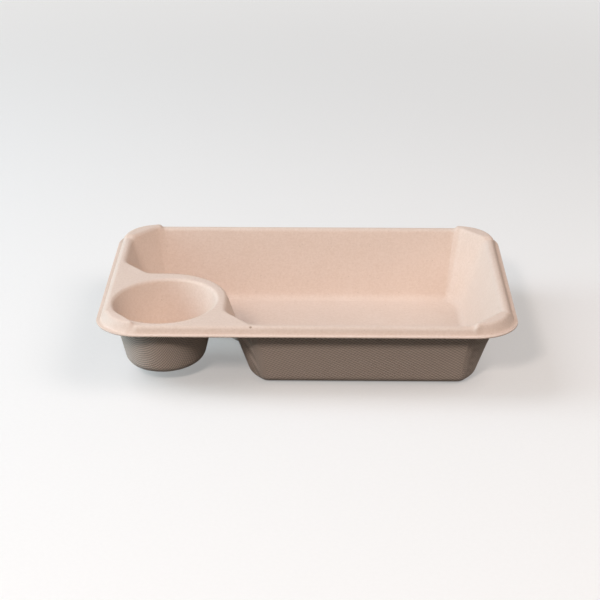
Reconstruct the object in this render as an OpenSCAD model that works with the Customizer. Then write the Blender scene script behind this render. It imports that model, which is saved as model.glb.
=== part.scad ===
// Moulded-fibre salad tray: one pressed sheet with a large basin and an oval sauce cup.
// X runs along the tray, -Y is the side with the cup, Z is up from the table.
// The origin is on the table, under the middle of the tray.

/* [Tray] */
// Overall length over the lip
tray_l = 230; // [210:1:260]
// Overall width over the lip
tray_w = 163; // [150:1:190]
// Height of the straight rim crest above the table
tray_h = 41.4; // [36:0.1:48]
// Thickness of the pressed sheet
sheet = 0.8; // [0.6:0.1:1]

/* [Rim] */
// Corner radius of the lip
lip_r = 24.5; // [22:0.5:28]
// Width of the flat lip
lip_w = 2.2; // [1.6:0.1:2.6]
// Height of the crest above the lip
crest_rise = 3.9; // [3.4:0.1:4.8]
// Radius of the rounded crest
crest_r = 2.7; // [2.3:0.1:3]
// Distance of the crest line from the edge of the lip
crest_in = 6; // [5.8:0.1:6.6]
// Width of the flat on top of the crest
crest_flat = 0.6; // [0.4:0.1:1]
// Radius of the hollow where the rim rises from the lip
foot_r = 0.6; // [0.3:0.1:0.8]

/* [Corner pads] */
// Height of the four raised corners above the crest
pad_rise = 1.5; // [0.8:0.1:2]
// Length of the ramp at each end of a raised corner
pad_ramp = 2.6; // [1.8:0.1:3.6]
// Width of the step down from the front left corner to the deck
pad_step = 0.6; // [0.4:0.1:0.8]

/* [Basin] */
// Lean of the basin walls from upright, in degrees
basin_lean = 19.4; // [16:0.2:21]
// Radius inside the bend between wall and floor
floor_bend = 5.5; // [3.5:0.5:6.5]
// Length that the straight cut across each basin corner takes from a wall along the tray
cut_along = 16.2; // [15:0.1:18]
// Length that it takes from a wall across the tray
cut_across = 19.6; // [18.5:0.1:21]
// Radius of the two upright bends beside each corner cut, at the crest
cut_bend = 7; // [6:0.5:7.5]
// Radius of the basin wall where it passes behind the cup
notch_r = 33.5; // [30:0.5:34.5]

/* [Cup] */
// Half of the cup's mouth along the tray, at the deck
cup_r = 30.3; // [29:0.1:32]
// Size of the cup across the tray, as a multiple of its size along the tray
cup_oval = 1.09; // [1:0.01:1.12]
// Lean of the cup's wall from upright, in degrees
cup_lean = 13.1; // [8:0.1:16]
// Depth of the cup, from the deck to its inside bottom
cup_depth = 33.9; // [26:0.1:35]
// Radius of the rolled edge of the mouth
cup_roll = 2.2; // [1.6:0.1:2.6]
// Radius inside the bend between the cup's wall and bottom
cup_bend = 5.8; // [4:0.2:8]
// Deck between the left crest line and the cup
deck_left = 0.2; // [0.2:0.1:1.2]
// Deck between the front crest line and the cup
deck_front = 1.7; // [1.5:0.1:4]
// Deck between the cup and the basin on the right
deck_right = 1.1; // [1:0.1:3]
// Deck between the cup and the basin at the back
deck_back = 5.2; // [4.5:0.1:8]

/* [Hidden] */
fibre_colour = [0.86, 0.8, 0.74];

// Steps along the bends, and along the straight cut between two of them
bend_steps = 3;
cut_steps = 5;
foot_steps = 2;
crest_steps = 4;
roll_steps = 5;
floor_steps = 5;
cup_steps = 6;
cup_facets = 96;

// Places around one corner of the tray, of which the ramps of its raised pad take some at each end
corner_count = 2 * (bend_steps + 1) + cut_steps - 1;
ramp_steps = 2;

half_l = tray_l / 2;
half_w = tray_w / 2;
lip_top = tray_h - crest_rise;
crest_line_l = half_l - crest_in;
crest_line_w = half_w - crest_in;
half_flat = crest_flat / 2;

// The cup's axis, and the two deck edges that the basin wall starts from
cup_reach = cup_r * cup_oval;
cup_x = -crest_line_l + deck_left + cup_r;
cup_y = -crest_line_w + deck_front + cup_reach;
deck_x = cup_x + cup_r + deck_right;
deck_y = cup_y + cup_reach + deck_back;

// Slope of the rise, tangent to the crest's arc, from the inner edge of the lip
crest_x = crest_in - half_flat;
crest_z = tray_h - crest_r;
rise_run = crest_x - lip_w;
rise_up = crest_z - lip_top;
rise_slope = atan2(rise_up, rise_run) + asin(crest_r / norm([rise_run, rise_up]));

// Share of the depth by which the upright bends tighten towards the floor
bend_taper = 0.2;

function unit(angle) = [cos(angle), sin(angle)];
function mix(a, b, t) = a + (b - a) * t;

// Point of the wall section as [distance from the lip's edge, height, normal of the top side]
function section_point(p, angle) = [p[0], p[1], unit(angle)];

// Lip and outer side of the rim, from the lip's edge to the crest
foot_x = lip_w - foot_r * tan(rise_slope / 2);
foot_arc = [
    for (i = [0 : foot_steps])
        let (a = rise_slope * i / foot_steps)
        section_point([foot_x + foot_r * sin(a), lip_top + foot_r * (1 - cos(a))], 90 + a)
];
crest_arc = [
    for (i = [0 : crest_steps])
        let (a = mix(90 + rise_slope, 90, i / crest_steps))
        section_point([crest_x, crest_z] + crest_r * unit(a), a)
];
lip_section = concat([section_point([0, lip_top], 90)], foot_arc);

// Inner roll, wall and floor bend of the basin
roll_x = crest_in + half_flat;
roll_arc = [
    for (i = [0 : roll_steps])
        let (a = mix(90, basin_lean, i / roll_steps))
        section_point([roll_x, crest_z] + crest_r * unit(a), a)
];
wall_top = roll_arc[roll_steps];
wall_foot = wall_top[0] + (wall_top[1] - sheet) * tan(basin_lean);
bend_x = wall_foot + floor_bend * tan(45 - basin_lean / 2);
floor_arc = [
    for (i = [0 : floor_steps])
        let (a = mix(basin_lean, 90, i / floor_steps))
        section_point([bend_x, sheet + floor_bend] - floor_bend * unit(a), a)
];

// Places around the tray, counter-clockwise from the front right corner: three free corners,
// the basin corner on the left wall, the bend behind the cup, and the basin corner on the front wall
ramp_angle = pad_ramp / (lip_r - crest_in) * 180 / PI;
function from_end(j) = corner_count - 1 - j;
function place_angle(j) =
    j <= ramp_steps ? ramp_angle * j / ramp_steps
    : from_end(j) <= ramp_steps ? 90 - ramp_angle * from_end(j) / ramp_steps
    : mix(ramp_angle, 90 - ramp_angle, (j - ramp_steps) / (from_end(ramp_steps) - ramp_steps));
function place_rise(j) = pad_rise * min(1, min(j, from_end(j)) / ramp_steps);

// One corner of the basin outline: two bends with a straight cut between them.
// k is the corner of the two wall lines, a the outward direction of the first wall, legs are the
// lengths that the cut takes from the two walls, and turn is the angle from the first wall to the cut.
function cut_corner(k, a, legs, turn, r, inner) =
    let (
        c1 = k - (legs[0] + r * tan(turn / 2)) * unit(a + 90) - r * unit(a),
        c2 = k + (legs[1] + r * tan(45 - turn / 2)) * unit(a + 180) - r * unit(a + 90),
        from = c1 + r * unit(a + turn),
        to = c2 + r * unit(a + turn)
    )
    concat(
        [for (i = [0 : bend_steps]) c1 + r * unit(a + turn * i / bend_steps)],
        [for (i = [1 : 1 : inner]) mix(from, to, i / (inner + 1))],
        [for (i = [0 : bend_steps]) c2 + r * unit(a + mix(turn, 90, i / bend_steps))]
    );

// The same corner at a distance d inside the crest line, where k and legs belong to the crest line
function corner_bend(d) = cut_bend - bend_taper * d;
function leaning_corner(k, a, legs, d, inner) =
    let (
        turn = atan2(legs[1], legs[0]),
        lost = d * (cos(turn) + sin(turn) - 1),
        left = legs - [lost / sin(turn), lost / cos(turn)]
    )
    cut_corner(k - d * unit(a) - d * unit(a + 90), a, left, turn, corner_bend(d), inner);
function corner_legs(a) = a % 180 == 0 ? [cut_across, cut_along] : [cut_along, cut_across];
function basin_corner(k, a, d, inner) = leaning_corner(k, a, corner_legs(a), d, inner);

// Outline of the basin at a distance d inside the crest line
function basin_outline(d) = concat(
    basin_corner([crest_line_l, -crest_line_w], -90, d, cut_steps - 1),
    basin_corner([crest_line_l, crest_line_w], 0, d, cut_steps - 1),
    basin_corner([-crest_line_l, crest_line_w], 90, d, cut_steps - 1),
    basin_corner([-crest_line_l, deck_y], 180, d, 0),
    [
        for (j = [0 : corner_count - 1])
            let (a = 90 * from_end(j) / (corner_count - 1))
            [deck_x - notch_r, deck_y - notch_r] + (notch_r + d) * unit(a)
    ],
    basin_corner([deck_x, -crest_line_w], 180, d, 0)
);
crest_outline = basin_outline(0);
side_count = 2 * (bend_steps + 1);
left_start = 3 * corner_count;
cup_start = left_start + side_count;
front_start = cup_start + corner_count;
place_count = front_start + side_count;

// Outline of the rim at a distance d inside the lip's edge, with as many places as the basin
function lip_corner(sx, sy, a, d) = [
    for (j = [0 : corner_count - 1])
        [sx * (half_l - lip_r), sy * (half_w - lip_r)] + (lip_r - d) * unit(a + place_angle(j))
];
function lip_outline(d) = concat(
    lip_corner(1, -1, -90, d),
    lip_corner(1, 1, 0, d),
    lip_corner(-1, 1, 90, d),
    [for (j = [left_start : cup_start - 1]) [-half_l + d, crest_outline[j][1]]],
    lip_corner(-1, -1, 180, d),
    [for (j = [front_start : place_count - 1]) [crest_outline[j][0], -half_w + d]]
);

// Rise of the rim and of the basin's edge at each place: the cup's corner is raised at the rim only
function is_corner(j) = j < left_start || (j >= cup_start && j < front_start);
function corner_index(j) = j < left_start ? j % corner_count : j - cup_start;
rim_rise = [for (j = [0 : place_count - 1]) is_corner(j) ? place_rise(corner_index(j)) : 0];
basin_rise = [for (j = [0 : place_count - 1]) j < left_start ? rim_rise[j] : 0];
no_rise = [for (j = [0 : place_count - 1]) 0];

// Ring of points around the tray for one point of the section, at a depth t below the top side
function ring(outline, z, rise) = [
    for (j = [0 : place_count - 1])
        [outline[j][0], outline[j][1], z + rise[j]]
];
function rim_ring(s, t, rise) =
    ring(lip_outline(s[0] - t * s[2][0]), s[1] - t * s[2][1], rise);
function basin_ring(s, t, rise) =
    ring(basin_outline(s[0] - crest_in - t * s[2][0]), s[1] - t * s[2][1], rise);

// Flat between the crest and the basin's edge; in the cup's corner it ends in a step down to the deck
step_angle = atan2(pad_rise, pad_step);
flat_shares = [1 / 6, 1 / 3];
function deck_outline(share, d) =
    let (
        rim = lip_outline(crest_x),
        basin = basin_outline(half_flat),
        edge = lip_outline(crest_x + share * crest_flat)
    )
    concat(
        [for (j = [0 : left_start - 1]) mix(rim[j], basin[j], share)],
        [for (j = [left_start : cup_start - 1]) edge[j]],
        basin_corner([-crest_line_l, -crest_line_w], 180, d, cut_steps - 1),
        [for (j = [front_start : place_count - 1]) edge[j]]
    );
function deck_rings(t) =
    let (under = t * tan(step_angle / 2))
    [
        ring(deck_outline(flat_shares[0], half_flat - under), tray_h - t, rim_rise),
        ring(deck_outline(flat_shares[1], half_flat + pad_step - under), tray_h - t, basin_rise)
    ];

// One side of the sheet, from the lip's edge to the floor, at a depth t below the top side
function sheet_rings(t) = concat(
    [for (s = lip_section) rim_ring(s, t, no_rise)],
    [for (s = crest_arc) rim_ring(s, t, rim_rise)],
    deck_rings(t),
    [for (s = roll_arc) basin_ring(s, t, basin_rise)],
    [for (s = floor_arc) basin_ring(s, t, no_rise)]
);

function reversed(list) = [for (i = [len(list) - 1 : -1 : 0]) list[i]];

// Points that face all of the basin's floor and all of the deck loop, with nothing in between
function floor_hub(z) = [(deck_x + crest_line_l) / 2, (deck_y + crest_line_w) / 2, z];
function deck_hub(z) = [cup_x, cup_y, z];

// Number of the ring along the rim side of the deck, counted from the lip's edge
deck_ring = len(lip_section) + len(crest_arc) + 1;

// Triangles from a hub point to each edge of a loop of points
function fan(hub, loop) = [
    for (i = [0 : len(loop) - 1])
        [hub, loop[i], loop[(i + 1) % len(loop)]]
];

// Loop round the deck, between ring i and the next one, without the narrow ends of the deck
deck_first = left_start + bend_steps;
deck_last = front_start + bend_steps + 1;
function deck_loop(i) = concat(
    [for (j = [deck_first : deck_last]) (i + 1) * place_count + j],
    [for (j = [deck_last : -1 : deck_first]) i * place_count + j]
);

// Closed sheet without the cup: its underside, the edge of the lip and its top side
module pressed_sheet() {
    rings = concat(reversed(sheet_rings(sheet)), sheet_rings(0));
    last = len(rings) - 1;
    under_deck = len(rings) / 2 - 2 - deck_ring;
    top_deck = len(rings) / 2 + deck_ring;
    sides = [
        for (i = [0 : last - 1], j = [0 : place_count - 1])
            let (
                a = i * place_count + j,
                b = i * place_count + (j + 1) % place_count,
                in_deck = (i == under_deck || i == top_deck) && j >= deck_first && j < deck_last
            )
            if (!in_deck)
                each [[a, a + place_count, b + place_count], [a, b + place_count, b]]
    ];
    hubs = [floor_hub(0), floor_hub(sheet), deck_hub(tray_h - sheet), deck_hub(tray_h)];
    first_hub = len(rings) * place_count;
    fans = concat(
        fan(first_hub, [for (j = [0 : place_count - 1]) j]),
        fan(first_hub + 1, [for (j = [place_count - 1 : -1 : 0]) last * place_count + j]),
        fan(first_hub + 2, deck_loop(under_deck)),
        fan(first_hub + 3, deck_loop(top_deck))
    );
    polyhedron(
        concat([for (r = rings) each r], hubs),
        concat(sides, fans),
        convexity = 8
    );
}

// Half section of one side of the cup at a depth t below its top side, from the middle to the mouth
cup_bottom = tray_h - cup_depth;
cup_wall_x = cup_r - cup_roll * cos(cup_lean);
cup_wall_z = tray_h - cup_roll * (1 - sin(cup_lean));
cup_foot = cup_wall_x - (cup_wall_z - cup_bottom) * tan(cup_lean);
cup_bend_x = cup_foot - cup_bend * tan(45 - cup_lean / 2);
function cup_side(t) = concat(
    [[0, cup_bottom - t]],
    [
        for (i = [0 : cup_steps])
            let (a = mix(-90, -cup_lean, i / cup_steps))
            [cup_bend_x, cup_bottom + cup_bend] + (cup_bend + t) * unit(a)
    ],
    [
        for (i = [0 : cup_steps])
            let (a = mix(180 - cup_lean, 90, i / cup_steps))
            [cup_r, tray_h - cup_roll] + (cup_roll - t) * unit(a)
    ]
);

// The last facet of the roll runs on past the face of the deck by this height
skim = 0.01;
function through_deck(side) =
    let (
        n = len(side) - 1,
        step = side[n] - side[n - 1]
    )
    [for (i = [0 : n]) i < n ? side[i] : side[n] + step * skim / step[1]];

// Oval solid under a side of the cup that is closed at height z: a turned shape, drawn out across the tray
module cup_solid(side, z) {
    mouth = side[len(side) - 1][0];
    translate([cup_x, cup_y, 0])
        scale([1, cup_oval, 1])
            rotate_extrude($fn = cup_facets)
                polygon(concat(side, [[mouth, z], [0, z]]));
}
module cup_body() cup_solid(through_deck(cup_side(sheet)), tray_h - sheet / 2);
module cup_cavity() cup_solid(through_deck(cup_side(0)), tray_h + 2 * pad_rise);

// The whole tray, pressed as one piece
module tray() {
    color(fibre_colour)
        difference() {
            union() {
                pressed_sheet();
                cup_body();
            }
            cup_cavity();
        }
}

tray();
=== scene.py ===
"""Looks of the moulded-fibre salad tray: a finer mesh of the pressed sheet, its fibre, the light and the camera."""
import math

import bmesh
import bpy
import numpy as np
from mathutils import Matrix, Vector
from mathutils.geometry import delaunay_2d_cdt


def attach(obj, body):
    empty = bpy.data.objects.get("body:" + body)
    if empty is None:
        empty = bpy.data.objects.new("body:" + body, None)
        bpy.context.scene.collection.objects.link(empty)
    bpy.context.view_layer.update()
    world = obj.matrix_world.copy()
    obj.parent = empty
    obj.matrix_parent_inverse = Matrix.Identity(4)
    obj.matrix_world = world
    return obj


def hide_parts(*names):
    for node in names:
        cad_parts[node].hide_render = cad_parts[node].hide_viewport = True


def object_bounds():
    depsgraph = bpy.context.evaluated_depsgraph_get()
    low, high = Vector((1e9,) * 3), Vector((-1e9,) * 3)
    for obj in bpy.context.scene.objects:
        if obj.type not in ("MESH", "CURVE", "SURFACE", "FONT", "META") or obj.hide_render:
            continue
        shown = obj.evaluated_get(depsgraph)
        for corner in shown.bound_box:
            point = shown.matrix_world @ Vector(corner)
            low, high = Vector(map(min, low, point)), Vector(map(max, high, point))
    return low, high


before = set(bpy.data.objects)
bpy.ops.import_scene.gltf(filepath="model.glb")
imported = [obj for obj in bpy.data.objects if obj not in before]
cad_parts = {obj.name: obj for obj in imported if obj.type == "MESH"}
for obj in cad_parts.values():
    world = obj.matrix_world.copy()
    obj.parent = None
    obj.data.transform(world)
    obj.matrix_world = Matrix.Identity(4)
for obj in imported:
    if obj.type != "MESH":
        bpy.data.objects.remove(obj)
cad_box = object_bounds()

# The sheet is worked out in millimetres. The finished mesh, the light and the camera are in metres.
MM = 0.001
MM_IN_METRE = 1000.0

# Sizes of the tray in millimetres and degrees that the part's source has too
TRAY_L, TRAY_W, TRAY_H, SHEET = 230.0, 163.0, 41.4, 0.8
LIP_R, LIP_W = 24.5, 2.2
CREST_RISE, CREST_R, CREST_IN, CREST_FLAT, FOOT_R = 3.9, 2.7, 6.0, 0.6, 0.6
PAD_RISE, PAD_RAMP = 1.5, 2.6
BASIN_LEAN, FLOOR_BEND = 19.4, 5.5
CUT_ALONG, CUT_ACROSS, NOTCH_R = 16.2, 19.6, 33.5
CUP_LEAN, CUP_DEPTH, CUP_ROLL, CUP_BEND = 13.1, 33.9, 2.2, 5.8
DECK_X, DECK_Y = -47.1, -2.55

# The next sizes are the scene's own: they are finer than in the part's source, or differ a little from it.
# Rounding of the lip's edge
EDGE_R = 0.2
# Hollow of the rim's corners, how far their crest moves inwards, and the way over which these come in
CORNER_FOOT_R, FRONT_CREST_IN, BACK_CREST_IN, CORNER_FADE = 1.6, 1.4, 0.4, 6.0
# Starts of the raised corners' ramps before the round corners of the lip, along and across the tray
RAMP_LEAD_X, RAMP_LEAD_Y = 1.2, 1.4
# Step from the raised front left corner down to the deck: width, distance from the cup's axis, and turn
PAD_STEP, STEP_AWAY, STEP_TURN = 0.7, 32.4, 38.0
# Upright bends beside the corner cuts, on walls along and across the tray, at distances inside the crest line
BEND_DEPTHS = (0.0, 9.0, 20.0)
BENDS_ALONG = (7.0, 5.5, 4.0)
BENDS_ACROSS = (8.0, 24.0, 16.0)
# The most of a cut's length that its two bends may take
CUT_SHARE = 0.9
# Axis of the cup, half of its mouth's short axis, the long axis as a multiple of that, and the turn of the oval
CUP_X, CUP_Y, CUP_R, CUP_OVAL, CUP_TURN = -78.85, -41.15, 30.0, 1.12, -14.8

# Places and sizes that follow from them
HALF_L, HALF_W = TRAY_L / 2, TRAY_W / 2
LIP_CENTRE_X, LIP_CENTRE_Y = HALF_L - LIP_R, HALF_W - LIP_R
LIP_TOP = TRAY_H - CREST_RISE
LINE_L, LINE_W = HALF_L - CREST_IN, HALF_W - CREST_IN
HALF_FLAT = CREST_FLAT / 2
CREST_X, CREST_Z = CREST_IN - HALF_FLAT, TRAY_H - CREST_R
ROLL_X = CREST_IN + HALF_FLAT
RAMP_X, RAMP_Y = LIP_CENTRE_X - RAMP_LEAD_X, LIP_CENTRE_Y - RAMP_LEAD_Y

# Steps of the mesh in millimetres: along straights, and between the points on deck and floor
STRAIGHT_STEP, DECK_STEP, FLOOR_STEP = 2.6, 1.3, 4.0
# Close points on the straights beside the lip's round corners, by their distance from the bend
LIP_CLOSE = (4.0, 2.8, 2.0, 1.3, 0.6)
# Counts of steps along the bends of the outlines
LIP_CORNER_STEPS, BEND_STEPS, CUT_STEPS, NOTCH_STEPS, CUP_TURNS = 36, 10, 12, 44, 200
# Counts of steps along the sections of rim, basin and cup
EDGE_STEPS, LIP_STEPS, HOLLOW_STEPS, RISE_STEPS, CREST_STEPS = 4, 2, 6, 2, 9
ROLL_STEPS, WALL_STEPS, FLOOR_BEND_STEPS = 9, 10, 9
CUP_FLOOR_STEPS, CUP_BEND_STEPS, CUP_WALL_STEPS, CUP_ROLL_STEPS = 7, 11, 10, 11
# Points along the step to the deck: rows across it, half of its length, pitch, and least gap to an outline
STEP_ROWS = (-0.8, -0.3, 0.0, 0.23, 0.47, 0.7, 1.0)
STEP_HALF, STEP_PITCH, CLOSE_GAP = 15.0, 0.45, 0.2
# Rows of points on deck and floor: distance between rows, and gap to other points, as shares of the step
ROW_SHARE, CLEAR_SHARE = 0.87, 0.6
# Number of the triangulation that keeps what lies within the outer outline, and its tolerance
INSIDE_EDGES, FILL_TOLERANCE = 1, 1e-7

# Depths of the two sides below the top of the sheet, and the numbers of their materials
TOP, UNDER = 0.0, SHEET
INSIDE, OUTSIDE = 0, 1

# Wire mesh that the outside was formed on: pitch in millimetres, and the turn of the cloth on basin and cup
WIRE_PITCH, BASIN_CLOTH, CUP_CLOTH = 1.49, -33.0, 33.0
# Shares of the two wires in the weave, and the weave at which the imprint's painted groove shade is darkest and its
# painted ridge light lightest
WIRE_SHARES, WEAVE_RANGE = (0.35, 0.65), (-0.7, 0.7)

# Colours of the fibre, linear
FIBRE = (0.745, 0.592, 0.495, 1.0)
FIBRE_LIGHT = (0.81, 0.667, 0.575, 1.0)
FIBRE_DARK = (0.65, 0.494, 0.392, 1.0)
SPECK = (0.30, 0.19, 0.12, 1.0)
# Painted shade in the grooves of the wire-mesh imprint on the outside; its ridges take the light fibre colour as
# painted light
GROOVE_SHADE = (0.47, 0.375, 0.305, 1.0)
# On the side of the cup the imprint's painted groove shade is darker and its bump deeper; both change between these
# two places along the tray.
CUP_GROOVE_SHADE = (0.38, 0.302, 0.246, 1.0)
CUP_SIDE = (-0.035, -0.055)
# One larger fleck on the front crest: its place, and the distances at which it starts and is whole
FLECK_AT = (-0.02995, -0.0772, 0.041)
FLECK_RANGE = (0.001, 0.0004)

# Sizes in the fibre in millimetres, and detail and roughness of its noises
CLOUD_SIZE, CLOUD_DETAIL = 18.0, 3.0
MOTTLE_SIZE, MOTTLE_DETAIL, MOTTLE_ROUGH = 1.3, 4.0, 0.65
GRAIN_SIZE, GRAIN_ROUGH = 0.35, 0.6
STRAND_LENGTH, STRAND_WIDTH, STRAND_RANGE = 4.5, 0.28, (0.57, 0.72)
STRAND_TURNS = ((0.2, 0.3, 0.1), (0.9, -0.4, 1.2), (-0.5, 1.1, 2.2), (1.4, 0.6, -0.8))
# Specks: size of the cells in millimetres, share of cells without one, spread of sizes and soft edge in cells
SPECK_CELL, SPECK_NONE, SPECK_SPREAD, SPECK_RANGE = 3.2, 0.3, 0.1, (0.07, 0.0)
# Shares of clouds and mottling in the tone, its darkest and lightest value, and the share of plain fibre
CLOUD_SHARE, MOTTLE_SHARE, TONE_RANGE, PLAIN_SHARE = 0.2, 0.8, (0.36, 0.64), 0.7
# How far strands, specks, the fleck and the imprint's painted groove shade and ridge light change the colour
STRAND_TINT, SPECK_TINT, FLECK_TINT, WIRE_SHADE_TINT = 0.3, 0.17, 0.75, 0.8
# Heights in the bump, with what the imprint gains on the side of the cup, and the bump's strength and depth
MOTTLE_HEIGHT, GRAIN_HEIGHT, STRAND_HEIGHT, WIRE_HEIGHT, CUP_WIRE_GAIN = 0.5, 0.35, 0.35, 1.5, 0.6
BUMP_STRENGTH, BUMP_DEPTH = 0.55, 0.00012
ROUGH_LEAST, ROUGH_SPREAD, FIBRE_SPECULAR = 0.7, 0.2, 0.28

# Floor: half of its side and drop below the tray in metres, and its grain in millimetres
FLOOR_REACH, FLOOR_DROP, FLOOR_GRAIN, FLOOR_GRAIN_RANGE = 6.0, 0.0004, 2.0, (0.3, 0.7)
# Its two pale tones, its tone far away where it glows as an even backdrop, and the low one that lights the tray
FLOOR_TONES = ((0.62, 0.605, 0.585, 1.0), (0.63, 0.615, 0.595, 1.0))
FLOOR_FAR, FLOOR_THROWN = (0.02, 0.02, 0.02, 1.0), (0.06, 0.055, 0.05, 1.0)
# Colour of its glow, strength beside the tray, gain towards the backdrop, and distances of that change
GLOW, GLOW_NEAR, GLOW_GAIN, BACKDROP_RANGE = (0.9, 0.89, 0.88, 1.0), 0.33, 0.62, (0.3, 1.4)
FLOOR_ROUGH, FLOOR_SPECULAR = 0.9, 0.1

# Square lamps, all aimed at the tray: place, side, watts and colour
LAMP_TARGET = (0.0, 0.0, 0.03)
LAMPS = {
    "left_low": ((-1.427, 0.0, 0.464), 0.8, 14.7, (0.655, 0.88, 1.0)),
    "left_high": ((-0.964, 0.0, 1.149), 0.8, 8.3, (0.82, 0.875, 1.0)),
    "front": ((-0.370, -1.139, 0.903), 0.2, 8.0, (1.0, 0.89, 0.835)),
    "right": ((0.835, -0.482, 1.149), 0.9, 8.4, (1.0, 0.915, 0.895)),
}
# Light of the room on the tray, and what is seen of the room
ROOM_LIGHT, ROOM_SEEN = (0.14, 0.131, 0.12, 1.0), (0.88, 0.875, 0.865, 1.0)

# The photograph's view: places in metres, roll in degrees, focal length in pixels of a square image
CAMERA_AT, CAMERA_TARGET, CAMERA_ROLL = (0.00677, -0.93555, 0.41502), (-0.00407, -0.02862, 0.0367), 0.0486
FOCAL_PIXELS, IMAGE_PIXELS = 1751.72, 600
SENSOR_WIDTH, CLIP_START = 36.0, 0.01

# Numbers of the Mix node's sockets for colours
MIX_FACTOR, MIX_A, MIX_B, MIX_RESULT = 0, 6, 7, 2


def unit(angle):
    a = math.radians(angle)
    return np.array([math.cos(a), math.sin(a)])


def turned(points, angle):
    a, b = unit(angle)
    return np.asarray(points) @ np.array([[a, b], [-b, a]])


def raised(outline, z):
    return np.column_stack([outline, np.broadcast_to(z, len(outline))])


def mix(a, b, t):
    return a + (b - a) * t


def smooth(t):
    t = np.clip(t, 0.0, 1.0)
    return t * t * (3 - 2 * t)


def arc(centre, radius, start, end, steps):
    """Section points along an arc as (distance from the lip's edge, height, normal's angle).
    A negative radius is a hollow."""
    angles = [mix(start, end, i / steps) for i in range(steps + 1)]
    return [(*(np.array(centre) + radius * unit(a)), a) for a in angles]


def between(p, q, count):
    """Points on the straight between two points of a section or an outline, without its ends."""
    return [mix(np.array(p), np.array(q), i / (count + 1)) for i in range(1, count + 1)]


def rim_section(foot_r, crest_x):
    """Lip, hollow, rise and crest, from the rounded edge of the lip inwards."""
    run, up = crest_x - LIP_W, CREST_Z - LIP_TOP
    slope = math.degrees(math.atan2(up, run) + math.asin(CREST_R / math.hypot(run, up)))
    foot_x = LIP_W - foot_r * math.tan(math.radians(slope / 2))
    edge = arc((EDGE_R, LIP_TOP - EDGE_R), EDGE_R, 180, 90, EDGE_STEPS)
    hollow = arc((foot_x, LIP_TOP + foot_r), -foot_r, 90, 90 + slope, HOLLOW_STEPS)
    crest = arc((crest_x, CREST_Z), CREST_R, 90 + slope, 90, CREST_STEPS)
    lip = between(edge[-1], hollow[0], LIP_STEPS)
    rise = between(hollow[-1], crest[0], RISE_STEPS)
    return edge + lip + hollow + rise + crest


def rim_lifts():
    """Share of a raised corner's height that each point of the rim's section takes."""
    low = EDGE_STEPS + 1 + LIP_STEPS + HOLLOW_STEPS + 1
    rising = [i / (RISE_STEPS + 1) for i in range(1, RISE_STEPS + 1)]
    return [0.0] * low + rising + [1.0] * (CREST_STEPS + 1)


def basin_section():
    """Inner roll, wall and floor bend of the basin."""
    roll = arc((ROLL_X, CREST_Z), CREST_R, 90, BASIN_LEAN, ROLL_STEPS)
    foot = roll[-1][0] + (roll[-1][1] - SHEET) * math.tan(math.radians(BASIN_LEAN))
    bend_x = foot + FLOOR_BEND * math.tan(math.radians(45 - BASIN_LEAN / 2))
    bend = arc((bend_x, SHEET + FLOOR_BEND), -FLOOR_BEND, BASIN_LEAN, 90, FLOOR_BEND_STEPS)
    return roll + between(roll[-1], bend[0], WALL_STEPS) + bend


def basin_lifts():
    """Share of a raised corner's height that each point of the basin's section takes; it fades out down the wall."""
    fading = [1 - i / (WALL_STEPS + 1) for i in range(1, WALL_STEPS + 1)]
    return [1.0] * (ROLL_STEPS + 1) + fading + [0.0] * (FLOOR_BEND_STEPS + 1)


def cup_section():
    """Bottom, bend, wall and rolled mouth of the cup as (radius, height, normal's angle)."""
    bottom = TRAY_H - CUP_DEPTH
    lean = math.radians(CUP_LEAN)
    wall_x, wall_z = CUP_R - CUP_ROLL * math.cos(lean), TRAY_H - CUP_ROLL * (1 - math.sin(lean))
    foot = wall_x - (wall_z - bottom) * math.tan(lean)
    bend_x = foot - CUP_BEND * math.tan(math.radians(45 - CUP_LEAN / 2))
    bend = arc((bend_x, bottom + CUP_BEND), -CUP_BEND, 90, 180 - CUP_LEAN, CUP_BEND_STEPS)
    roll = arc((CUP_R, TRAY_H - CUP_ROLL), CUP_ROLL, 180 - CUP_LEAN, 90, CUP_ROLL_STEPS)
    floor = [(bend_x * i / CUP_FLOOR_STEPS, bottom, 90.0) for i in range(1, CUP_FLOOR_STEPS)]
    return floor + bend + between(bend[-1], roll[0], CUP_WALL_STEPS) + roll


def bend_points(centre, radius, start, end, steps):
    """Points of an outline along an upright bend, between two angles."""
    return [centre + radius * unit(start + (end - start) * i / steps) for i in range(steps + 1)]


def joined(pieces, counts):
    """One closed outline from pieces with straights between them, and a number of points on each straight."""
    points = []
    for piece, following, count in zip(pieces, pieces[1:] + pieces[:1], counts):
        points.extend(piece)
        points.extend(between(piece[-1], following[0], count))
    return np.array(points)


def straight_counts(pieces):
    """Number of points on the straight after each piece."""
    gaps = [np.linalg.norm(q[0] - p[-1]) for p, q in zip(pieces, pieces[1:] + pieces[:1])]
    return [max(0, round(gap / STRAIGHT_STEP) - 1) for gap in gaps]


def lip_pieces(d):
    """Round corners of the rim at a distance d inside the lip's edge, with close points on the straights
    beside them."""
    pieces = []
    for sx, sy, a in [(1, -1, -90), (1, 1, 0), (-1, 1, 90), (-1, -1, 180)]:
        centre = np.array([sx * LIP_CENTRE_X, sy * LIP_CENTRE_Y])
        bend = bend_points(centre, LIP_R - d, a, a + 90, LIP_CORNER_STEPS)
        before = [bend[0] - away * unit(a + 90) for away in LIP_CLOSE]
        after = [bend[-1] + away * unit(a + 180) for away in LIP_CLOSE[::-1]]
        pieces.append(before + bend + after)
    return pieces


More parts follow.
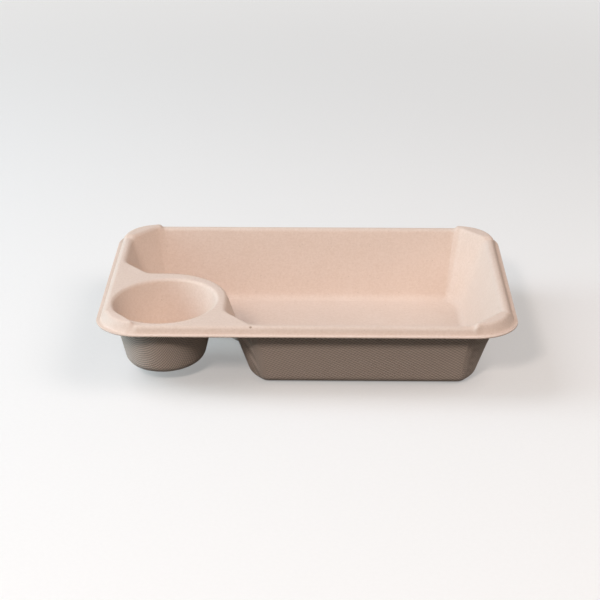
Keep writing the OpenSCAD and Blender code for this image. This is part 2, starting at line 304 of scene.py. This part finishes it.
def cut_corner(corner, a, d):
    """Basin corner at a distance d inside the crest line: two upright bends with a straight cut between them.
    The first wall faces outwards along the angle a. The bends change with the distance, as far as the cut has
    room for them."""
    k = np.array(corner) - d * unit(a) - d * unit(a + 90)
    along = CUT_ALONG, np.interp(d, BEND_DEPTHS, BENDS_ALONG)
    across = CUT_ACROSS, np.interp(d, BEND_DEPTHS, BENDS_ACROSS)
    legs, radii = zip(across, along) if a % 180 == 0 else zip(along, across)
    turn = math.atan2(legs[1], legs[0])
    lost = d * (math.cos(turn) + math.sin(turn) - 1)
    legs = legs[0] - lost / math.sin(turn), legs[1] - lost / math.cos(turn)
    halves = math.tan(turn / 2), math.tan(math.pi / 4 - turn / 2)
    room = CUT_SHARE * math.hypot(*legs) / (radii[0] * halves[0] + radii[1] * halves[1])
    radii = [r * min(1.0, room) for r in radii]
    c1 = k - (legs[0] + radii[0] * halves[0]) * unit(a + 90) - radii[0] * unit(a)
    c2 = k + (legs[1] + radii[1] * halves[1]) * unit(a + 180) - radii[1] * unit(a + 90)
    turn = math.degrees(turn)
    first = bend_points(c1, radii[0], a, a + turn, BEND_STEPS)
    second = bend_points(c2, radii[1], a + turn, a + 90, BEND_STEPS)
    return first + between(first[-1], second[0], CUT_STEPS - 1) + second


def basin_pieces(d):
    """Cut corners of the basin at a distance d inside the crest line, and its round bend behind the cup."""
    notch = np.array([DECK_X - NOTCH_R, DECK_Y - NOTCH_R])
    return [
        cut_corner((LINE_L, -LINE_W), -90, d),
        cut_corner((LINE_L, LINE_W), 0, d),
        cut_corner((-LINE_L, LINE_W), 90, d),
        cut_corner((-LINE_L, DECK_Y), 180, d),
        bend_points(notch, NOTCH_R + d, 90, 0, NOTCH_STEPS),
        cut_corner((DECK_X, -LINE_W), 180, d),
    ]


LIP_COUNTS = straight_counts(lip_pieces(0))
BASIN_COUNTS = straight_counts(basin_pieces(0))


def lip_outline(d):
    return joined(lip_pieces(d), LIP_COUNTS)


def basin_outline(d):
    return joined(basin_pieces(d), BASIN_COUNTS)


def cup_outline(radius):
    """Oval of the cup with a given half of its short axis."""
    turns = np.array([unit(360 * i / CUP_TURNS) for i in range(CUP_TURNS)])
    return np.array([CUP_X, CUP_Y]) + turned(radius * turns * np.array([1.0, CUP_OVAL]), CUP_TURN)


def pad_rise(points):
    """Height of the raised corners over the crest; beside the cup the pad ends in a straight step."""
    x, y = points[:, 0], points[:, 1]
    along = smooth((np.abs(x) - RAMP_X) / PAD_RAMP) * smooth((np.abs(y) - RAMP_Y) / PAD_RAMP)
    across = (points - np.array([CUP_X, CUP_Y])) @ unit(STEP_TURN) + STEP_AWAY
    over_step = smooth(1 - across / PAD_STEP)
    in_cup_corner = (x < 0) & (y < 0)
    return PAD_RISE * along * np.where(in_cup_corner, over_step, 1.0)


def cornerness(points):
    """1 in the middle of the rim's four corners and 0 along its straights."""
    into_x = np.abs(points[:, 0]) - LIP_CENTRE_X
    into_y = np.abs(points[:, 1]) - LIP_CENTRE_Y
    return smooth(np.minimum(into_x, into_y) / CORNER_FADE)


def inside(points, loop):
    """Which points lie inside a closed outline."""
    result = np.zeros(len(points), bool)
    x, y = points[:, 0], points[:, 1]
    for (x0, y0), (x1, y1) in zip(loop, np.roll(loop, -1, axis=0)):
        crosses = (y0 > y) != (y1 > y)
        if y0 != y1:
            result ^= crosses & (x < (x1 - x0) * (y - y0) / (y1 - y0) + x0)
    return result


def clear_of(points, others, gap):
    """Which points are more than a gap away from each of some other points."""
    return np.array([np.min(np.sum((others - p) ** 2, axis=1)) > gap * gap for p in points])


def step_points():
    """Rows of points along the step from the raised front left corner to the deck."""
    n, along = unit(STEP_TURN), unit(STEP_TURN + 90)
    middle = np.array([CUP_X, CUP_Y]) - STEP_AWAY * n
    places = np.arange(-STEP_HALF, STEP_HALF, STEP_PITCH)
    return np.array([middle + row * n + place * along for row in STEP_ROWS for place in places])


def flat_fill(loops, step, close_points=()):
    """Triangles of the flat between an outline and its holes: extra points inside, and index triples over
    all points."""
    everything = np.vstack(loops)
    low, high = loops[0].min(axis=0), loops[0].max(axis=0)
    grid = np.array([
        (x + (row % 2) * step / 2, y)
        for row, y in enumerate(np.arange(low[1] + step / 2, high[1], step * ROW_SHARE))
        for x in np.arange(low[0] + step / 2, high[0], step)
    ])
    grid = grid[clear_of(grid, np.vstack([everything, *close_points]), step * CLEAR_SHARE)]
    if len(close_points):
        grid = np.vstack([grid, close_points[clear_of(close_points, everything, CLOSE_GAP)]])
    within = inside(grid, loops[0])
    for hole in loops[1:]:
        within &= ~inside(grid, hole)
    grid = grid[within]
    points = np.vstack([everything, grid])
    edges, start = [], 0
    for loop in loops:
        edges += [(start + i, start + (i + 1) % len(loop)) for i in range(len(loop))]
        start += len(loop)
    found = delaunay_2d_cdt([Vector(p) for p in points], edges, [], INSIDE_EDGES, FILL_TOLERANCE)
    triangles = np.array(found[2])
    origin = np.array([ids[0] for ids in found[3]])
    centres = np.array([list(v) for v in found[0]])[triangles].mean(axis=1)
    keep = np.ones(len(centres), bool)
    for hole in loops[1:]:
        keep &= ~inside(centres, hole)
    return grid, origin[triangles[keep]]


class Sheet:
    """Points, faces, wire-mesh coordinates and material numbers of one mesh."""

    def __init__(self):
        self.points, self.faces, self.cloth, self.kinds = [], [], [], []

    def add(self, points):
        start = len(self.points)
        self.points.extend(map(tuple, points))
        return list(range(start, len(self.points)))

    def face(self, indices, cloth, kind):
        self.faces.append(tuple(indices))
        self.cloth.append([tuple(c) for c in cloth])
        self.kinds.append(kind)

    def bands(self, rings, cloth, kind):
        """Quads between each closed ring and the next; all have the same number of points."""
        for lower, upper, lower_cloth, upper_cloth in zip(rings, rings[1:], cloth, cloth[1:]):
            for j in range(len(lower)):
                k = (j + 1) % len(lower)
                self.face(
                    (lower[j], lower[k], upper[k], upper[j]),
                    (lower_cloth[j], lower_cloth[k], upper_cloth[k], upper_cloth[j]),
                    kind,
                )

    def fan(self, middle, ring, ring_cloth, kind):
        """Triangles between a closed ring and a point in its middle, where the wire-mesh coordinates are zero."""
        for j in range(len(ring)):
            k = (j + 1) % len(ring)
            self.face((middle, ring[j], ring[k]), ((0, 0), ring_cloth[j], ring_cloth[k]), kind)

    def fill(self, indices, triangles, cloth, kind):
        for t in triangles:
            self.face([indices[i] for i in t], [cloth[i] for i in t], kind)


def below(point, t):
    """Place at a depth t under a point of a section, square to the surface."""
    x, z, angle = point
    n = unit(angle)
    return x - t * n[0], z - t * n[1]


def below_rim(point, t):
    """The same for the rim, where the lip's edge is rounded alike on both sides."""
    x, z, _ = point
    if x < EDGE_R:
        return x, z - t * (1 - 2 * (LIP_TOP - z) / SHEET)
    return below(point, t)


def rim_rings(t):
    """Rings of one side of the rim, from the lip's edge to the crest, softer in the hollow of each corner."""
    lip = lip_outline(0.0)
    share = cornerness(lip)[:, None]
    at_front = lip[:, 1:] < 0
    sections = [rim_section(FOOT_R, CREST_X)]
    sections += [rim_section(CORNER_FOOT_R, CREST_X + inwards) for inwards in (FRONT_CREST_IN, BACK_CREST_IN)]
    corner_crests = [lip_outline(CREST_X + inwards) for inwards in (FRONT_CREST_IN, BACK_CREST_IN)]
    rise = pad_rise(mix(lip_outline(CREST_X), np.where(at_front, *corner_crests), share))
    rings = []
    for points, lift in zip(zip(*sections), rim_lifts()):
        places = [below_rim(point, t) for point in points]
        straight, front, back = [raised(lip_outline(x), z) for x, z in places]
        ring = mix(straight, np.where(at_front, front, back), share)
        ring[:, 2] += rise * lift
        rings.append(ring)
    return rings


def basin_rings(t):
    """Rings of one side of the basin, from its edge to the floor."""
    rise = pad_rise(basin_outline(HALF_FLAT))
    rings = []
    for (distance, z, angle), lift in zip(basin_section(), basin_lifts()):
        inwards, height = below((distance - CREST_IN, z, angle), t)
        rings.append(raised(basin_outline(inwards), height + rise * lift))
    return rings


def cup_rings(t):
    """Rings of one side of the cup, from near its middle to the mouth."""
    rings = []
    for point in cup_section():
        radius, height = below(point, t)
        outline = cup_outline(radius)
        rings.append(raised(outline, height + pad_rise(outline)))
    return rings


def spread_cloth(rings, middle, angle):
    """Wire-mesh coordinates of rings: each ring lies outside the one before by the distance along the surface."""
    base = rings[0][:, :2] - np.array(middle)
    outward = np.roll(base, -1, axis=0) - np.roll(base, 1, axis=0)
    outward = np.column_stack([outward[:, 1], -outward[:, 0]])
    outward /= np.linalg.norm(outward, axis=1)[:, None]
    run = np.zeros(len(base))
    cloth = [turned(base, angle)]
    for previous, ring in zip(rings, rings[1:]):
        run = run + np.linalg.norm(ring - previous, axis=1)
        cloth.append(turned(base + outward * run[:, None], angle))
    return cloth


def build_side(sheet, t, kind):
    """One side of the pressed sheet, at a depth t below its top side; returns the ring at the lip's edge and
    its wire-mesh coordinates."""
    rim, basin, cup = rim_rings(t), basin_rings(t), cup_rings(t)
    deck_loops = [rim[-1][:, :2], basin[0][:, :2], cup[-1][:, :2]]
    deck_points, deck_triangles = flat_fill(deck_loops, DECK_STEP, step_points())
    floor_loop = basin[-1][:, :2]
    floor_points, floor_triangles = flat_fill([floor_loop], FLOOR_STEP)

    rim_ids, basin_ids, cup_ids = [[sheet.add(ring) for ring in rings] for rings in (rim, basin, cup)]
    deck_ids = sheet.add(raised(deck_points, TRAY_H - t + pad_rise(deck_points)))
    floor_ids = sheet.add(raised(floor_points, SHEET - t))
    middle_id = sheet.add([(CUP_X, CUP_Y, TRAY_H - CUP_DEPTH - t)])[0]

    rim_cloth = [turned(ring[:, :2], BASIN_CLOTH) for ring in rim]
    basin_cloth = spread_cloth(basin[::-1], (0, 0), BASIN_CLOTH)[::-1]
    cup_cloth = spread_cloth(cup, (CUP_X, CUP_Y), CUP_CLOTH)
    sheet.bands(rim_ids, rim_cloth, kind)
    sheet.bands(basin_ids, basin_cloth, kind)
    sheet.bands(cup_ids, cup_cloth, kind)
    sheet.fan(middle_id, cup_ids[0], cup_cloth[0], kind)

    deck_cloth = turned(np.vstack(deck_loops + [deck_points]), BASIN_CLOTH)
    sheet.fill(rim_ids[-1] + basin_ids[0] + cup_ids[-1] + deck_ids, deck_triangles, deck_cloth, kind)
    floor_cloth = turned(np.vstack([floor_loop, floor_points]), BASIN_CLOTH)
    sheet.fill(basin_ids[-1] + floor_ids, floor_triangles, floor_cloth, kind)
    return rim_ids[0], rim_cloth[0]


def build_tray():
    """The whole pressed sheet as one closed mesh in metres."""
    sheet = Sheet()
    top_ids, cloth = build_side(sheet, TOP, INSIDE)
    under_ids, _ = build_side(sheet, UNDER, OUTSIDE)
    sheet.bands([top_ids, under_ids], [cloth, cloth], INSIDE)
    points = np.array(sheet.points) * MM
    points = np.clip(points, cad_box[0], cad_box[1])
    mesh = bpy.data.meshes.new("tray_sheet")
    mesh.from_pydata([tuple(p) for p in points], [], sheet.faces)
    layer = mesh.uv_layers.new(name="cloth")
    flat = [value for corners in sheet.cloth for corner in corners for value in corner]
    layer.data.foreach_set("uv", flat)
    mesh.polygons.foreach_set("material_index", sheet.kinds)
    mesh.polygons.foreach_set("use_smooth", [True] * len(sheet.faces))
    work = bmesh.new()
    work.from_mesh(mesh)
    bmesh.ops.recalc_face_normals(work, faces=work.faces)
    work.to_mesh(mesh)
    work.free()
    mesh.update()
    tray = bpy.data.objects.new("tray_sheet", mesh)
    bpy.context.scene.collection.objects.link(tray)
    return tray


class Nodes:
    """Short calls for a node tree."""

    def __init__(self, tree):
        self.tree = tree

    def add(self, kind, inputs=None, **settings):
        node = self.tree.nodes.new(kind)
        for name, value in settings.items():
            setattr(node, name, value)
        for name, value in (inputs or {}).items():
            self.put(node.inputs[name], value)
        return node

    def put(self, socket, value):
        if isinstance(value, bpy.types.NodeSocket):
            self.tree.links.new(value, socket)
        else:
            socket.default_value = value

    def math(self, operation, a, b=0.0):
        return self.add("ShaderNodeMath", {0: a, 1: b}, operation=operation).outputs[0]

    def plus(self, a, b):
        return self.math("ADD", a, b)

    def times(self, a, b):
        return self.math("MULTIPLY", a, b)

    def noise(self, vector, size_mm, detail=2.0, roughness=0.5):
        inputs = {"Vector": vector, "Scale": MM_IN_METRE / size_mm, "Detail": detail, "Roughness": roughness}
        return self.add("ShaderNodeTexNoise", inputs).outputs["Fac"]

    def strand(self, vector, turn, length_mm, width_mm):
        """Noise drawn out into strands of a length and width, turned in space."""
        scale = (MM_IN_METRE / length_mm, MM_IN_METRE / width_mm, MM_IN_METRE / width_mm)
        mapped = self.add("ShaderNodeMapping", {"Vector": vector, "Rotation": turn, "Scale": scale})
        inputs = {"Vector": mapped.outputs[0], "Scale": 1.0, "Detail": 1.0}
        return self.add("ShaderNodeTexNoise", inputs).outputs["Fac"]

    def ramp(self, value, low, high):
        """Soft rise from 0 at the first value to 1 at the second, which may be the smaller one."""
        inputs = {"Value": value, "From Min": low, "From Max": high}
        return self.add("ShaderNodeMapRange", inputs, interpolation_type="SMOOTHSTEP").outputs[0]

    def mix(self, factor, a, b):
        node = self.add("ShaderNodeMix", data_type="RGBA", clamp_factor=True)
        for number, value in ((MIX_FACTOR, factor), (MIX_A, a), (MIX_B, b)):
            self.put(node.inputs[number], value)
        return node.outputs[MIX_RESULT]

    def seen(self):
        """1 where the camera sees a surface, by itself or in a reflection or through something, and else 0."""
        path = self.add("ShaderNodeLightPath")
        direct = self.math("MAXIMUM", path.outputs["Is Camera Ray"], path.outputs["Is Glossy Ray"])
        return self.math("MAXIMUM", direct, path.outputs["Is Transmission Ray"])


def fibre_strands(n, place):
    """Short strands that lie every way in the sheet, from 0 to 1."""
    total = 0.0
    for turn in STRAND_TURNS:
        strand = n.ramp(n.strand(place, turn, STRAND_LENGTH, STRAND_WIDTH), *STRAND_RANGE)
        total = n.math("MAXIMUM", total, strand)
    return total


def specks(n, place):
    """Small bits of darker fibre, from 0 to 1."""
    cells = n.add("ShaderNodeTexVoronoi", {"Vector": place, "Scale": MM_IN_METRE / SPECK_CELL}, feature="F1")
    draws = n.add("ShaderNodeSeparateColor", {0: cells.outputs["Color"]}).outputs
    chosen = n.math("GREATER_THAN", draws[0], SPECK_NONE)
    size = n.times(draws[1], SPECK_SPREAD)
    near = n.ramp(n.math("SUBTRACT", cells.outputs["Distance"], size), *SPECK_RANGE)
    return n.times(near, chosen)


def wire_imprint_and_shade(n, place, colour, height):
    """Colour and height of the fibre with the imprint of the forming mesh in it: the height as bump, the colour with
    painted shade in the grooves and painted light on the ridges.
    """
    cloth = n.add("ShaderNodeUVMap", uv_map="cloth").outputs[0]
    axes = n.add("ShaderNodeSeparateXYZ", {0: cloth}).outputs
    waves = [n.math("COSINE", n.times(axes[i], 2 * math.pi / WIRE_PITCH)) for i in (0, 1)]
    weave = n.plus(n.times(waves[0], WIRE_SHARES[0]), n.times(waves[1], WIRE_SHARES[1]))
    cup_side = n.ramp(n.add("ShaderNodeSeparateXYZ", {0: place}).outputs[0], *CUP_SIDE)
    # Painted shade for the grooves, darker on the side of the cup
    painted_groove = n.mix(cup_side, GROOVE_SHADE, CUP_GROOVE_SHADE)
    depth = n.plus(WIRE_HEIGHT, n.times(cup_side, CUP_WIRE_GAIN))
    height = n.plus(height, n.times(weave, depth))
    # Painted groove shade and painted ridge light laid over the fibre's colour
    colour = n.mix(WIRE_SHADE_TINT, colour, n.mix(n.ramp(weave, *WEAVE_RANGE), painted_groove, FIBRE_LIGHT))
    return colour, height


def fleck(n, place, colour):
    """Colour of the fibre with the one larger fleck in it."""
    away = n.add("ShaderNodeVectorMath", {0: place, 1: FLECK_AT}, operation="DISTANCE").outputs["Value"]
    return n.mix(n.times(n.ramp(away, *FLECK_RANGE), FLECK_TINT), colour, SPECK)


def fibre_material(name, wire):
    """Pressed pulp: clouds, mottling, strands and specks; with wire, the imprint of the forming mesh as bump, with
    painted shade in its grooves and painted light on its ridges.
    """
    material = bpy.data.materials.new(name)
    material.use_nodes = True
    n = Nodes(material.node_tree)
    shader = material.node_tree.nodes["Principled BSDF"]
    place = n.add("ShaderNodeTexCoord").outputs["Object"]

    clouds = n.noise(place, CLOUD_SIZE, CLOUD_DETAIL)
    mottle = n.noise(place, MOTTLE_SIZE, MOTTLE_DETAIL, MOTTLE_ROUGH)
    grain = n.noise(place, GRAIN_SIZE, roughness=GRAIN_ROUGH)
    strands = fibre_strands(n, place)

    tone = n.plus(n.times(clouds, CLOUD_SHARE), n.times(mottle, MOTTLE_SHARE))
    colour = n.mix(n.ramp(tone, *TONE_RANGE), FIBRE_DARK, FIBRE_LIGHT)
    colour = n.mix(PLAIN_SHARE, colour, FIBRE)
    colour = n.mix(n.times(strands, STRAND_TINT), colour, FIBRE_LIGHT)
    colour = n.mix(n.times(specks(n, place), SPECK_TINT), colour, SPECK)

    height = n.plus(n.times(mottle, MOTTLE_HEIGHT), n.times(grain, GRAIN_HEIGHT))
    height = n.plus(height, n.times(strands, STRAND_HEIGHT))
    if wire:
        colour, height = wire_imprint_and_shade(n, place, colour, height)
    else:
        colour = fleck(n, place, colour)
    bump = n.add("ShaderNodeBump", {"Height": height, "Strength": BUMP_STRENGTH, "Distance": BUMP_DEPTH})

    n.put(shader.inputs["Base Color"], colour)
    n.put(shader.inputs["Roughness"], n.plus(ROUGH_LEAST, n.times(mottle, ROUGH_SPREAD)))
    n.put(shader.inputs["Normal"], bump.outputs[0])
    shader.inputs["Specular IOR Level"].default_value = FIBRE_SPECULAR
    return material


def floor_material():
    """Pale floor that takes the tray's shadow and fades into an even backdrop; the light it throws back is low."""
    material = bpy.data.materials.new("floor")
    material.use_nodes = True
    n = Nodes(material.node_tree)
    shader = material.node_tree.nodes["Principled BSDF"]
    seen = n.seen()
    place = n.add("ShaderNodeTexCoord").outputs["Object"]
    pale = n.mix(n.ramp(n.noise(place, FLOOR_GRAIN), *FLOOR_GRAIN_RANGE), *FLOOR_TONES)
    away = n.add("ShaderNodeVectorMath", {0: place}, operation="LENGTH").outputs["Value"]
    backdrop = n.ramp(away, *BACKDROP_RANGE)
    pale = n.mix(backdrop, pale, FLOOR_FAR)
    n.put(shader.inputs["Base Color"], n.mix(seen, FLOOR_THROWN, pale))
    shader.inputs["Emission Color"].default_value = GLOW
    strength = n.plus(GLOW_NEAR, n.times(backdrop, GLOW_GAIN))
    n.put(shader.inputs["Emission Strength"], n.times(seen, strength))
    shader.inputs["Roughness"].default_value = FLOOR_ROUGH
    shader.inputs["Specular IOR Level"].default_value = FLOOR_SPECULAR
    return material


def add_floor():
    mesh = bpy.data.meshes.new("floor")
    corners = [(sx * FLOOR_REACH, sy * FLOOR_REACH, 0) for sx, sy in ((-1, -1), (1, -1), (1, 1), (-1, 1))]
    mesh.from_pydata(corners, [], [(0, 1, 2, 3)])
    floor = bpy.data.objects.new("floor", mesh)
    floor.location = (0, 0, -FLOOR_DROP)
    mesh.materials.append(floor_material())
    bpy.context.scene.collection.objects.link(floor)


def facing(place, target):
    """Turn of a lamp or a camera at a place that looks at a target."""
    return (Vector(target) - Vector(place)).to_track_quat("-Z", "Y")


def add_lamp(name, place, side, watts, colour):
    light = bpy.data.lights.new(name, "AREA")
    light.shape = "SQUARE"
    light.size = side
    light.energy = watts
    light.color = colour
    lamp = bpy.data.objects.new(name, light)
    lamp.location = place
    lamp.rotation_euler = facing(place, LAMP_TARGET).to_euler()
    bpy.context.scene.collection.objects.link(lamp)


def add_light():
    """Two cool lamps at the left, one low and one high, a small one at the front, one at the right, and an even
    room light."""
    for name, lamp in LAMPS.items():
        add_lamp(name, *lamp)
    world = bpy.data.worlds.new("room")
    bpy.context.scene.world = world
    world.use_nodes = True
    n = Nodes(world.node_tree)
    background = world.node_tree.nodes["Background"]
    n.put(background.inputs["Color"], n.mix(n.seen(), ROOM_LIGHT, ROOM_SEEN))


def add_camera():
    """The photograph's view."""
    camera = bpy.data.cameras.new("camera")
    camera.sensor_width = SENSOR_WIDTH
    camera.lens = FOCAL_PIXELS * SENSOR_WIDTH / IMAGE_PIXELS
    camera.clip_start = CLIP_START
    eye = bpy.data.objects.new("camera", camera)
    look = facing(CAMERA_AT, CAMERA_TARGET).to_matrix().to_4x4()
    roll = Matrix.Rotation(math.radians(CAMERA_ROLL), 4, "Z")
    eye.matrix_world = Matrix.Translation(Vector(CAMERA_AT)) @ look @ roll
    bpy.context.scene.collection.objects.link(eye)
    bpy.context.scene.camera = eye


def main():
    bpy.context.scene.view_settings.view_transform = "Standard"
    tray = build_tray()
    tray.data.materials.append(fibre_material("fibre_inside", wire=False))
    tray.data.materials.append(fibre_material("fibre_outside", wire=True))
    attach(tray, "root")
    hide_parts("tray")
    add_floor()
    add_light()
    add_camera()


main()
